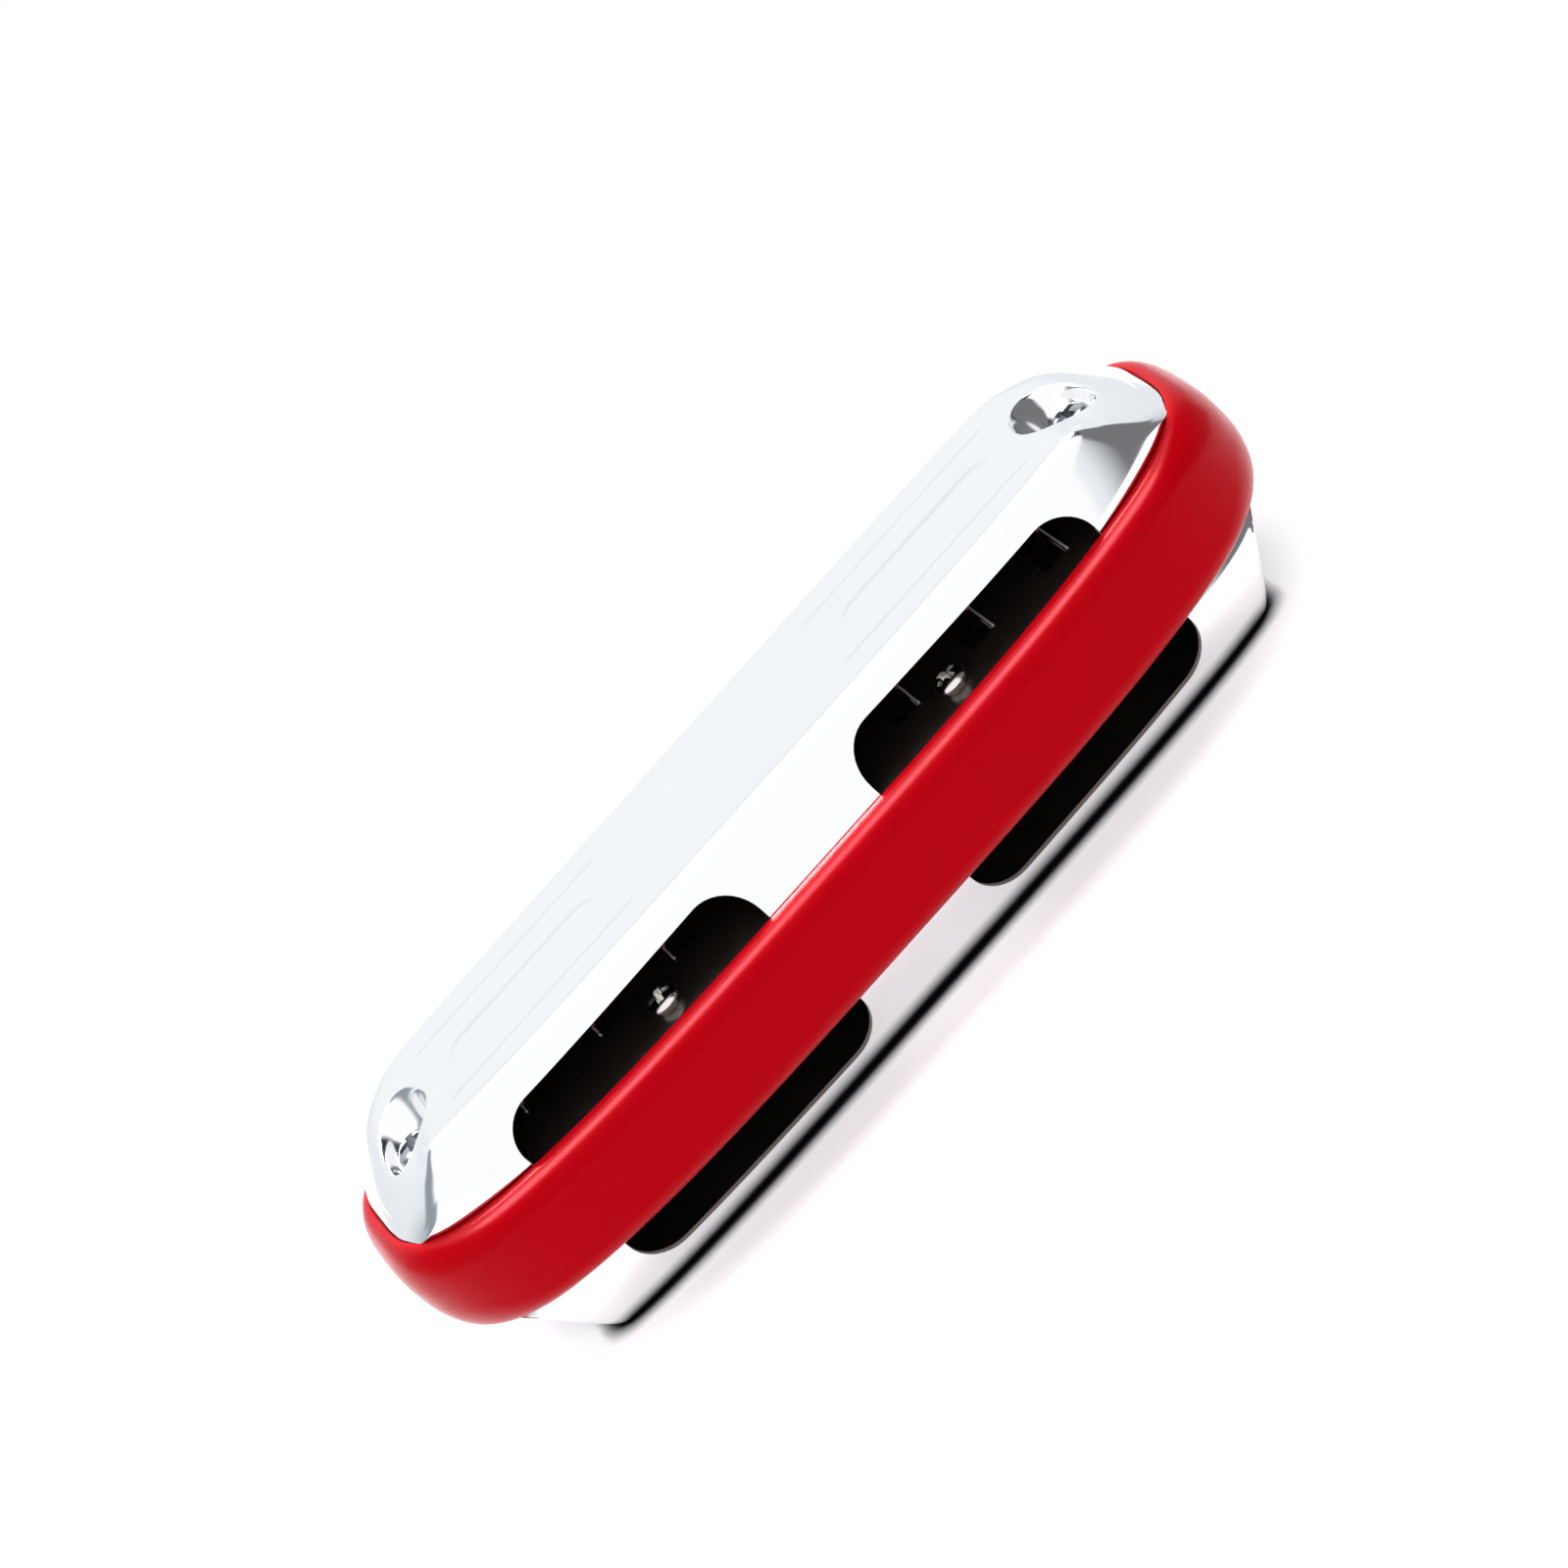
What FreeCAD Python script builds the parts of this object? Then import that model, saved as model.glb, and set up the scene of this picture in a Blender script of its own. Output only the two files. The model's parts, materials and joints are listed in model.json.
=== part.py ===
# A blues harmonica with eight holes: a moulded comb, two reed plates with their
# reeds, pads and rivets, two pressed covers, and the screws and nuts that hold it.
# Millimetres. X runs along the instrument with hole 1 at -X, the mouthpiece faces
# -Y, and +Z is up. The origin is under the middle, on the surface it rests on.
import FreeCAD, Part
import math
import os
import re

os.makedirs("parts", exist_ok=True)
doc = FreeCAD.newDocument("harmonica")

# Driving sizes of the instrument
SIZES = {
    "comb_length": 85.2,
    "comb_depth": 28.4,
    "comb_height": 9.2,
    "comb_edge_radius": 2.0,
    "comb_lip": 2.3,
    "recess_depth": 1.4,
    "recess_clearance": 0.1,
    "widest_before_middle": 1.3,
    "foot_squareness_share": 3.3,
    "top_squareness_share": 4.5,
    "hole_count": 8,
    "first_hole_from_end": 16.35,
    "hole_width": 5.0,
    "mouth_floor": 0.7,
    "mouth_corner": 0.8,
    "mouth_wall": 3.6,
    "chamber_tail": 1.2,
    "plate_thickness": 0.9,
    "plate_clearance": 0.05,
    "slot_width": 2.2,
    "reed_side_gap": 0.05,
    "reed_tip_gap": 0.1,
    "reed_taper": 3.8,
    "reed_thickness": 0.2,
    "reed_lift": 0.05,
    "blow_root_from_front": 6.4,
    "blow_tip_from_rear": 7.0,
    "draw_tip_from_front": 5.6,
    "pad_length": 2.2,
    "pad_width": 2.4,
    "pad_thickness": 0.35,
    "rivet_diameter": 0.9,
    "rivet_head_diameter": 1.5,
    "rivet_head_height": 0.25,
    "plate_screw_diameter": 1.6,
    "plate_screw_head_diameter": 2.8,
    "plate_screw_head_height": 1.1,
    "rear_screw_from_rear": 6.0,
    "end_screw_from_end": 11.2,
    "end_screw_from_front": 7.6,
    "cover_rise": 5.8,
    "rear_lean": 2.9,
    "ridge_round": 1.0,
    "ridge_turn_share": 6.0,
    "front_slope": 6.2,
    "front_turn_share": 1.4,
    "end_slope": 9.8,
    "end_turn_share": 1.5,
    "sheet_thickness": 0.5,
    "flange_width": 1.2,
    "window_gap": 11.44,
    "window_from_end": 13.02,
    "window_height": 3.95,
    "window_corner": 3.2,
    "dimple_from_end": 8.1,
    "dimple_behind_middle": 1.1,
    "dimple_mouth_diameter": 5.5,
    "dimple_floor_diameter": 4.6,
    "dimple_depth": 3.3,
    "cover_screw_diameter": 2.0,
    "cover_screw_head_diameter": 3.4,
    "cover_screw_head_height": 1.2,
    "nut_width": 3.6,
    "nut_height": 1.4,
    "screw_clearance": 0.1,
    "cross_length_share": 0.62,
    "cross_width_share": 0.17,
    "cross_depth_share": 0.5,
    "bar_length": 15.4,
    "bar_width": 3.7,
    "bar_from_end": 14.2,
    "bar_place_share": 0.62,
    "line_length": 19.0,
    "line_width": 0.35,
    "line_from_end": 12.6,
    "front_line_place_share": 0.29,
    "rear_line_place_share": 0.915,
    "press_depth": 0.12,
    "overrun": 1.0,
}

sheet = doc.addObject("Spreadsheet::Sheet", "Sizes")
for row, (alias, value) in enumerate(SIZES.items(), start=1):
    sheet.set("A%d" % row, alias.replace("_", " "))
    sheet.set("B%d" % row, str(value))
    sheet.setAlias("B%d" % row, alias)
doc.recompute()


def size(alias):
    return float(sheet.get(alias))


def named(text):
    """Turn a formula of plain aliases into an expression on the sheet."""
    return re.sub("[a-z_]+", lambda word: "Sizes." + word.group()
                  if word.group() in SIZES else word.group(), text)


def bind(thing, **formulas):
    for prop, text in formulas.items():
        thing.setExpression(prop, named(text))
    return thing


def place(thing, across="0", back="0", up="0"):
    thing.setExpression("Placement.Base.x", named(across))
    thing.setExpression("Placement.Base.y", named(back))
    thing.setExpression("Placement.Base.z", named(up))
    return thing


def box(name, length, width, height, middle="0", back="0", up="0"):
    """A box centred on X at middle, with its -Y and -Z faces at back and up."""
    thing = doc.addObject("Part::Box", name)
    bind(thing, Length=length, Width=width, Height=height)
    return place(thing, "%s - (%s) / 2" % (middle, length), back, up)


def cylinder(name, diameter, height, across="0", back="0", up="0"):
    thing = doc.addObject("Part::Cylinder", name)
    bind(thing, Radius="(%s) / 2" % diameter, Height=height)
    return place(thing, across, back, up)


def cut(name, base, tools):
    tool = tools[0] if len(tools) == 1 else fuse(name + "_cuts", tools)
    thing = doc.addObject("Part::Cut", name)
    thing.Base = base
    thing.Tool = tool
    return thing


def fuse(name, pieces):
    thing = doc.addObject("Part::MultiFuse", name)
    thing.Shapes = pieces
    thing.Refine = True
    return thing


def group(name, pieces):
    thing = doc.addObject("Part::Compound", name)
    thing.Links = pieces
    return thing


# Levels that the pieces share, as formulas
FRONT = "-comb_depth / 2"
MIDDLE = "(comb_height / 2 + cover_rise)"
LIP_TOP = MIDDLE + " + comb_height / 2"
LIP_BOTTOM = MIDDLE + " - comb_height / 2"
FLOOR_TOP = LIP_TOP + " - recess_depth"
FLOOR_BOTTOM = LIP_BOTTOM + " + recess_depth"
PLATE_TOP = FLOOR_TOP + " + plate_thickness"
PLATE_BOTTOM = FLOOR_BOTTOM + " - plate_thickness"
DIMPLE_FLOOR = "comb_height + 2 * cover_rise - dimple_depth"
CORE_HEIGHT = "(comb_height - 2 * recess_depth)"
MOUTH_HEIGHT = "(comb_height - 2 * recess_depth - 2 * mouth_floor)"
HOLE_PITCH = "((comb_length - 2 * first_hole_from_end) / (hole_count - 1))"
REED_LONGEST = "(comb_depth - blow_root_from_front - blow_tip_from_rear)"
WINDOW_WIDTH = "((comb_length - window_gap) / 2 - window_from_end)"
FLAT_FRONT = FRONT + " + comb_lip + front_slope"
FLAT_DEPTH = "(comb_depth - 2 * comb_lip - front_slope - rear_lean - ridge_round)"

lip_top = size("comb_height") + size("cover_rise")
plate_top = lip_top - size("recess_depth") + size("plate_thickness")
foot_half_length = size("comb_length") / 2 - size("comb_lip")
foot_rear = size("comb_depth") / 2 - size("comb_lip")
foot_front = -foot_rear
widest_place = -size("widest_before_middle")
holes = int(size("hole_count"))


def outline_points(half_length, rear, front, widest, squareness, outset=0.0):
    """Points of a rounded plan outline, evenly spaced, moved out square to it."""
    dense_steps = 1440
    kept_steps = 60
    dense = []
    for step in range(dense_steps):
        turn = 2 * math.pi * step / dense_steps
        cosine, sine = math.cos(turn), math.sin(turn)
        reach = rear - widest if sine >= 0 else widest - front
        x = half_length * math.copysign(abs(cosine) ** (2 / squareness), cosine)
        y = widest + reach * math.copysign(abs(sine) ** (2 / squareness), sine)
        dense.append(FreeCAD.Vector(x, y, 0))
    lengths = [0.0]
    for step in range(dense_steps):
        gap = dense[(step + 1) % dense_steps].sub(dense[step]).Length
        lengths.append(lengths[-1] + gap)
    kept = []
    step = 0
    for number in range(kept_steps):
        wanted = lengths[-1] * number / kept_steps
        while lengths[step + 1] < wanted:
            step += 1
        start, end = dense[step], dense[(step + 1) % dense_steps]
        share = (wanted - lengths[step]) / (lengths[step + 1] - lengths[step])
        kept.append(start + (end - start) * share)
    if outset == 0:
        return kept
    moved = []
    for number in range(kept_steps):
        along = kept[(number + 1) % kept_steps] - kept[number - 1]
        normal = FreeCAD.Vector(along.y, -along.x, 0).normalize()
        moved.append(kept[number] + normal * outset)
    return moved


def outline_wire(name, points, height):
    """A closed smooth wire through the points, at the given height."""
    curve = Part.BSplineCurve()
    raised = [FreeCAD.Vector(point.x, point.y, height) for point in points]
    curve.interpolate(raised, PeriodicFlag=True)
    wire = doc.addObject("Part::Feature", name)
    wire.Shape = Part.Wire([curve.toShape()])
    return wire


def foot_points(outset):
    squareness = size("foot_squareness_share")
    return outline_points(foot_half_length, foot_rear, foot_front, widest_place,
                          squareness, outset)


def slab(name, outset, bottom, thickness):
    """A flat slab with the plan of the covers' foot, moved out or in."""
    wire = outline_wire(name + "_outline", foot_points(outset), 0)
    thing = doc.addObject("Part::Extrusion", name)
    thing.Base = wire
    thing.DirMode = "Custom"
    thing.Dir = FreeCAD.Vector(0, 0, 1)
    thing.Solid = True
    bind(thing, LengthFwd=thickness)
    return place(thing, "0", "0", bottom)


def hole_shift(number):
    """The X of a hole's middle, as a count of pitches from the middle."""
    return HOLE_PITCH + " * (%.1f)" % (number - (holes - 1) / 2)


def reed_length(number):
    """A formula for the reed of the hole: each is shorter than the one before."""
    return "(%s - reed_taper * %d / (hole_count - 1))" % (REED_LONGEST, number)


BLOW_ROOT = FRONT + " + blow_root_from_front"
DRAW_TIP = FRONT + " + draw_tip_from_front"
REED_WIDTH = "(slot_width - 2 * reed_side_gap)"


def draw_root(number):
    return DRAW_TIP + " + " + reed_length(number)


# Places of the screws, as formulas for X and Y
REAR_SCREWS = [("%s2 * %s" % (sign, HOLE_PITCH), "comb_depth / 2 - rear_screw_from_rear")
               for sign in ("-", "")]
END_SCREWS = [("%s(comb_length / 2 - end_screw_from_end)" % sign,
               FRONT + " + end_screw_from_front") for sign in ("-", "")]
PLATE_SCREWS = REAR_SCREWS + END_SCREWS
COVER_SCREWS = [("%s(comb_length / 2 - dimple_from_end)" % sign,
                 "dimple_behind_middle") for sign in ("-", "")]


def bores(name, places, diameter, bottom, height):
    made = []
    for number, (across, back) in enumerate(places):
        bore_bottom = "%s - overrun" % bottom
        bore_height = "%s + 2 * overrun" % height
        made.append(cylinder("%s_%d" % (name, number), diameter, bore_height,
                             across, back, bore_bottom))
    return made


def fillet(name, base, radius, chosen):
    """Round the edges of the base that the chosen test accepts by their box."""
    doc.recompute()
    thing = doc.addObject("Part::Fillet", name)
    thing.Base = base
    thing.Edges = [(number, radius, radius)
                   for number, edge in enumerate(base.Shape.Edges, start=1)
                   if chosen(edge.BoundBox)]
    return thing


# Comb: the band's outline is the covers' foot moved out by the lip
def make_comb():
    block = slab("comb_block", size("comb_lip"), LIP_BOTTOM, "comb_height")
    radius = size("comb_edge_radius")
    rounded = fillet("comb_rounded", block, radius,
                     lambda bounds: bounds.ZLength < radius / 2)
    clearance = size("recess_clearance")
    tools = [
        slab("upper_recess", clearance, FLOOR_TOP, "recess_depth + overrun"),
        slab("lower_recess", clearance, LIP_BOTTOM + " - overrun",
             "recess_depth + overrun"),
    ]
    corner = size("mouth_corner")
    for number in range(holes):
        mouth = box("mouth_block_%d" % (number + 1), "hole_width",
                    "mouth_wall + 2 * overrun", MOUTH_HEIGHT,
                    hole_shift(number), FRONT + " - overrun",
                    FLOOR_BOTTOM + " + mouth_floor")
        tools.append(fillet("mouth_%d" % (number + 1), mouth, corner,
                            lambda bounds: bounds.YLength > corner))
        chamber_length = ("blow_root_from_front - mouth_wall + chamber_tail + "
                          + reed_length(number))
        tools.append(box("chamber_%d" % (number + 1), "hole_width", chamber_length,
                         CORE_HEIGHT + " + 2 * overrun", hole_shift(number),
                         FRONT + " + mouth_wall", FLOOR_BOTTOM + " - overrun"))
    tools += bores("comb_plate_bore", PLATE_SCREWS,
                   "plate_screw_diameter + 2 * screw_clearance",
                   FLOOR_BOTTOM, CORE_HEIGHT)
    tools += bores("comb_cover_bore", COVER_SCREWS,
                   "cover_screw_diameter + 2 * screw_clearance",
                   FLOOR_BOTTOM, CORE_HEIGHT)
    return cut("comb", rounded, tools)


# Reed plates: slots for the reeds, rivet holes in line with the slots, screw holes
def make_plate(name, bottom, slot_start, rivet_places, thread_diameter):
    blank = slab(name + "_blank", -size("plate_clearance"), bottom, "plate_thickness")
    tools = []
    for number in range(holes):
        tools.append(box("%s_slot_%d" % (name, number + 1), "slot_width",
                         reed_length(number) + " + reed_tip_gap",
                         "plate_thickness + 2 * overrun", hole_shift(number),
                         slot_start(number), bottom + " - overrun"))
    tools += bores(name + "_rivet_bore", rivet_places, "rivet_diameter",
                   bottom, "plate_thickness")
    tools += bores(name + "_plate_bore", PLATE_SCREWS, thread_diameter,
                   bottom, "plate_thickness")
    tools += bores(name + "_cover_bore", COVER_SCREWS,
                   "cover_screw_diameter + 2 * screw_clearance",
                   bottom, "plate_thickness")
    return cut(name, blank, tools)


BLOW_RIVETS = [(hole_shift(number), BLOW_ROOT + " - pad_length / 2")
               for number in range(holes)]
DRAW_RIVETS = [(hole_shift(number), draw_root(number) + " + pad_length / 2")
               for number in range(holes)]


# Reeds: each tongue lies beside the plate over its slot, with its root at the pad
def make_reed(name, number, start, bottom):
    return box(name, REED_WIDTH, reed_length(number), "reed_thickness",
               hole_shift(number), start, bottom)


# Pads: the riveted roots of the reeds, flat on the plate
def make_pads(name, starts, bottom):
    pads = []
    for number in range(holes):
        blank = box("%s_blank_%d" % (name, number + 1), "pad_width", "pad_length",
                    "pad_thickness", hole_shift(number), starts[number], bottom)
        bore = bores("%s_bore_%d" % (name, number + 1),
                     [(hole_shift(number), starts[number] + " + pad_length / 2")],
                     "rivet_diameter", bottom, "pad_thickness")
        pads.append(cut("%s_%d" % (name, number + 1), blank, bore))
    return group(name, pads)


# Rivets: a shank through plate and pad with a flat head on each side
def make_rivets(name, places, bottom):
    stack = "(plate_thickness + pad_thickness)"
    rivets = []
    for number, (across, back) in enumerate(places, start=1):
        shank = cylinder("%s_shank_%d" % (name, number), "rivet_diameter", stack,
                         across, back, bottom)
        lower = cylinder("%s_lower_%d" % (name, number), "rivet_head_diameter",
                         "rivet_head_height", across, back,
                         bottom + " - rivet_head_height")
        upper = cylinder("%s_upper_%d" % (name, number), "rivet_head_diameter",
                         "rivet_head_height", across, back, bottom + " + " + stack)
        rivets.append(fuse("%s_%d" % (name, number), [shank, lower, upper]))
    return group(name, rivets)


# Screws: a domed head with a cross recess on a straight shank that points down
def make_screw(name, across, back, seat, diameter, head, head_height, reach):
    shank = cylinder(name + "_shank", diameter, reach, across, back,
                     "%s - (%s)" % (seat, reach))
    blank = cylinder(name + "_head_blank", head, head_height, across, back, seat)
    doc.recompute()
    crown = blank.Height.Value / 2
    top = blank.Shape.BoundBox.ZMax
    domed = fillet(name + "_head", blank, crown,
                   lambda bounds: bounds.ZMin > top - crown)
    whole = fuse(name + "_whole", [shank, domed])
    depth = "(%s) * cross_depth_share" % head_height
    cross_bottom = "%s + %s - %s" % (seat, head_height, depth)
    long_side = "(%s) * cross_length_share" % head
    short_side = "(%s) * cross_width_share" % head
    bars = []
    for word, wide, deep in (("across", long_side, short_side),
                             ("along", short_side, long_side)):
        bars.append(box("%s_cross_%s" % (name, word), wide, deep,
                        depth + " + overrun", across,
                        "%s - (%s) / 2" % (back, deep), cross_bottom))
    return cut(name, whole, [fuse(name + "_cross", bars)])


def make_plate_screws():
    reach = "(%s + 2 * plate_thickness)" % CORE_HEIGHT
    screws = []
    for number, (across, back) in enumerate(PLATE_SCREWS, start=1):
        screws.append(make_screw("reed_plate_screw_%d" % number, across, back,
                                 PLATE_TOP, "plate_screw_diameter",
                                 "plate_screw_head_diameter",
                                 "plate_screw_head_height", reach))
    return group("reed_plate_screws", screws)


def make_cover_screws():
    reach = "(comb_height + 2 * cover_rise - 2 * dimple_depth + nut_height)"
    screws = []
    for number, (across, back) in enumerate(COVER_SCREWS, start=1):
        screws.append(make_screw("cover_screw_%d" % number, across, back,
                                 DIMPLE_FLOOR, "cover_screw_diameter",
                                 "cover_screw_head_diameter",
                                 "cover_screw_head_height", reach))
    return group("cover_screws", screws)


# Nuts: hexagonal, seated in the dimples of the bottom cover
def make_nuts():
    nuts = []
    for number, (across, back) in enumerate(COVER_SCREWS, start=1):
        blank = doc.addObject("Part::Prism", "cover_nut_blank_%d" % number)
        blank.Polygon = 6
        bind(blank, Circumradius="nut_width / 2 / cos(30 deg)", Height="nut_height")
        place(blank, across, back, "dimple_depth - nut_height")
        bore = bores("cover_nut_bore_%d" % number, [(across, back)],
                     "cover_screw_diameter", "dimple_depth - nut_height",
                     "nut_height")
        nuts.append(cut("cover_nut_%d" % number, blank, bore))
    return group("cover_nuts", nuts)


# Covers: a dome lofted through level outlines, hollowed to a sheet
LEVEL_SHARES = (0, 0.2, 0.4, 0.58, 0.74, 0.86, 0.94, 0.985, 1)


def turn_in(share, power):
    """How far an edge has come in, as a share, at a share of the height."""
    return 1 - (1 - share ** power) ** (1 / power)


def dome_wires(name, skin, foot_height):
    """Level outlines of the dome, from the foot up, with the skin taken off."""
    rise = size("cover_rise") - skin
    flat_rear = foot_rear - size("rear_lean") - size("ridge_round")
    flat_front = foot_front + size("front_slope")
    flat_middle = (flat_rear + flat_front) / 2
    wires = []
    if foot_height < lip_top:
        wires.append(outline_wire(name + "_foot", foot_points(-skin), foot_height))
    for share in LEVEL_SHARES:
        rear_run = size("rear_lean") * share
        rear_run += size("ridge_round") * turn_in(share, size("ridge_turn_share"))
        front_run = size("front_slope") * turn_in(share, size("front_turn_share"))
        end_run = size("end_slope") * turn_in(share, size("end_turn_share"))
        squareness = size("foot_squareness_share")
        squareness += (size("top_squareness_share") - squareness) * share
        widest = widest_place + (flat_middle - widest_place) * share
        points = outline_points(foot_half_length - end_run, foot_rear - rear_run,
                                foot_front + front_run, widest, squareness, -skin)
        level = "%s_level_%d" % (name, LEVEL_SHARES.index(share))
        wires.append(outline_wire(level, points, lip_top + rise * share))
    return wires


def make_dome(name, skin, foot_height):
    dome = doc.addObject("Part::Loft", name)
    dome.Sections = dome_wires(name, skin, foot_height)
    dome.Solid = True
    dome.Ruled = False
    return dome


def cone(name, low_diameter, high_diameter, height, across, back, up):
    thing = doc.addObject("Part::Cone", name)
    bind(thing, Radius1="(%s) / 2" % low_diameter,
         Radius2="(%s) / 2" % high_diameter, Height=height)
    return place(thing, across, back, up)


def pressed_slot(name, from_end, length, width, place_share, mirrored):
    """A shallow pressed slot with round ends, at a share of the flat's depth."""
    sign = "-" if mirrored else ""
    start = "comb_length / 2 - %s - %s" % (from_end, length)
    back = "%s + %s * %s" % (FLAT_FRONT, FLAT_DEPTH, place_share)
    bottom = "comb_height + 2 * cover_rise - press_depth"
    deep = "press_depth + overrun"
    middle = "%s(%s + %s / 2)" % (sign, start, length)
    straight = box(name + "_straight", "%s - %s" % (length, width), width, deep,
                   middle, "%s - %s / 2" % (back, width), bottom)
    ends = []
    for word, reach in (("inner", "%s + %s / 2" % (start, width)),
                        ("outer", "%s + %s - %s / 2" % (start, length, width))):
        ends.append(cylinder("%s_%s" % (name, word), width, deep,
                             "%s(%s)" % (sign, reach), back, bottom))
    return fuse(name, [straight] + ends)


def make_windows():
    """Cutters for the two windows, with round corners away from the flange."""
    windows = []
    back = "comb_depth / 2 - comb_lip - rear_lean - ridge_round"
    for number, sign in enumerate(("-", ""), start=1):
        block = box("window_block_%d" % number, WINDOW_WIDTH,
                    "rear_lean + ridge_round + overrun", "window_height",
                    "%s(window_gap + %s) / 2" % (sign, WINDOW_WIDTH), back, LIP_TOP)
        middle = lip_top + size("window_height") / 2
        radius = size("window_corner")
        windows.append(fillet("window_%d" % number, block, radius,
                              lambda bounds: bounds.ZMin > middle
                              and bounds.XLength < radius))
    return windows


def make_dimples():
    """The posts that the inside leaves standing, and the hollows cut in them."""
    posts = []
    hollows = []
    rim = "(dimple_mouth_diameter + (dimple_mouth_diameter - dimple_floor_diameter)"
    rim += " * overrun / dimple_depth)"
    for number, (across, back) in enumerate(COVER_SCREWS, start=1):
        posts.append(cone("dimple_post_%d" % number,
                          "dimple_floor_diameter + 2 * sheet_thickness",
                          "dimple_mouth_diameter + 2 * sheet_thickness",
                          "dimple_depth + sheet_thickness", across, back,
                          DIMPLE_FLOOR + " - sheet_thickness"))
        hollows.append(cone("dimple_hollow_%d" % number, "dimple_floor_diameter",
                            rim, "dimple_depth + overrun", across, back,
                            DIMPLE_FLOOR))
    hollows += bores("dimple_bore", COVER_SCREWS,
                     "cover_screw_diameter + 2 * screw_clearance",
                     DIMPLE_FLOOR + " - sheet_thickness", "sheet_thickness")
    return posts, hollows


def make_pressed_lines():
    """A wide bar and a thin line on each side of it, at both ends of the top."""
    slots = []
    for mirrored in (True, False):
        side = "left" if mirrored else "right"
        slots.append(pressed_slot("bar_" + side, "bar_from_end", "bar_length",
                                  "bar_width", "bar_place_share", mirrored))
        for word in ("front", "rear"):
            slots.append(pressed_slot("%s_line_%s" % (word, side), "line_from_end",
                                      "line_length", "line_width",
                                      word + "_line_place_share", mirrored))
    return slots


def make_top_cover():
    outer = make_dome("cover_outer", 0, plate_top)
    inner = make_dome("cover_inner", size("sheet_thickness"), lip_top)
    posts, hollows = make_dimples()
    room = cut("cover_room", inner, posts)
    flange_hole = slab("flange_hole", -size("flange_width"),
                       PLATE_TOP + " - overrun", "2 * overrun")
    return cut("top_cover", outer, [room, flange_hole] + make_windows() + hollows
               + make_pressed_lines())


def make_bottom_cover(top_cover):
    """The same pressing turned over, mirrored in the comb's middle plane."""
    cover = doc.addObject("Part::Mirroring", "bottom_cover")
    cover.Source = top_cover
    cover.Normal = FreeCAD.Vector(0, 0, 1)
    cover.setExpression("Base.z", named(MIDDLE))
    return cover


parts = [make_comb()]
parts.append(make_plate("blow_reed_plate", FLOOR_TOP, lambda number: BLOW_ROOT,
                        BLOW_RIVETS, "plate_screw_diameter + 2 * screw_clearance"))
parts.append(make_plate("draw_reed_plate", PLATE_BOTTOM,
                        lambda number: DRAW_TIP + " - reed_tip_gap",
                        DRAW_RIVETS, "plate_screw_diameter"))
for number in range(holes):
    parts.append(make_reed("blow_reed_%d" % (number + 1), number, BLOW_ROOT,
                           FLOOR_TOP + " - reed_lift - reed_thickness"))
    parts.append(make_reed("draw_reed_%d" % (number + 1), number, DRAW_TIP,
                           PLATE_BOTTOM + " - reed_lift - reed_thickness"))
parts.append(make_pads("blow_reed_pads", [BLOW_ROOT + " - pad_length"] * holes,
                       FLOOR_TOP + " - pad_thickness"))
parts.append(make_pads("draw_reed_pads", [draw_root(number) for number in range(holes)],
                       PLATE_BOTTOM + " - pad_thickness"))
parts.append(make_rivets("blow_reed_rivets", BLOW_RIVETS,
                         FLOOR_TOP + " - pad_thickness"))
parts.append(make_rivets("draw_reed_rivets", DRAW_RIVETS,
                         PLATE_BOTTOM + " - pad_thickness"))
parts.append(make_plate_screws())
parts.append(make_cover_screws())
parts.append(make_nuts())
top_cover = make_top_cover()
parts += [top_cover, make_bottom_cover(top_cover)]
doc.recompute()

for thing in doc.Objects:
    if "Invalid" in thing.State or "Error" in thing.State:
        raise RuntimeError("failed: %s %s" % (thing.Name, thing.State))
for part in parts:
    part.Label = part.Name
    if part.Shape.isNull() or not part.Shape.isValid():
        raise RuntimeError("bad shape: " + part.Name)
for part in parts:
    part.Shape.exportStep("parts/%s.step" % part.Label)
    print("%-20s solids %d volume %.3f" % (part.Label, len(part.Shape.Solids),
                                          part.Shape.Volume))
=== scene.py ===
import json
import math

import bmesh
import bpy
import numpy as np
from mathutils import Matrix, Vector


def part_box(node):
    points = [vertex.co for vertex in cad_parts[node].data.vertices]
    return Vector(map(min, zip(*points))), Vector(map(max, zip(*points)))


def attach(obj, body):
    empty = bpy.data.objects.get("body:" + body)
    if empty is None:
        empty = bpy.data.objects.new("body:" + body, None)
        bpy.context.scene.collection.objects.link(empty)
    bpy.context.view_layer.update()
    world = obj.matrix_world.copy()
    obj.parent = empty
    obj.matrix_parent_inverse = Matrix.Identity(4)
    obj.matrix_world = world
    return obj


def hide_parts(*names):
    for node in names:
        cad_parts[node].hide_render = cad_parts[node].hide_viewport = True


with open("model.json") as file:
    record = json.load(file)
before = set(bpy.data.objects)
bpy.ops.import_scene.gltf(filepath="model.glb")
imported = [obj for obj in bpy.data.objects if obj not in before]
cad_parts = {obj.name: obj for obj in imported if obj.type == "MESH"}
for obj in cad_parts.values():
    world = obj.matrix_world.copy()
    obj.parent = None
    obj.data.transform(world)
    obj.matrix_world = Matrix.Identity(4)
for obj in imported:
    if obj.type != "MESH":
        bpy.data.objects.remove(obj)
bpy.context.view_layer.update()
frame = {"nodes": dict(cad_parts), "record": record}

MM = 0.001

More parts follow.
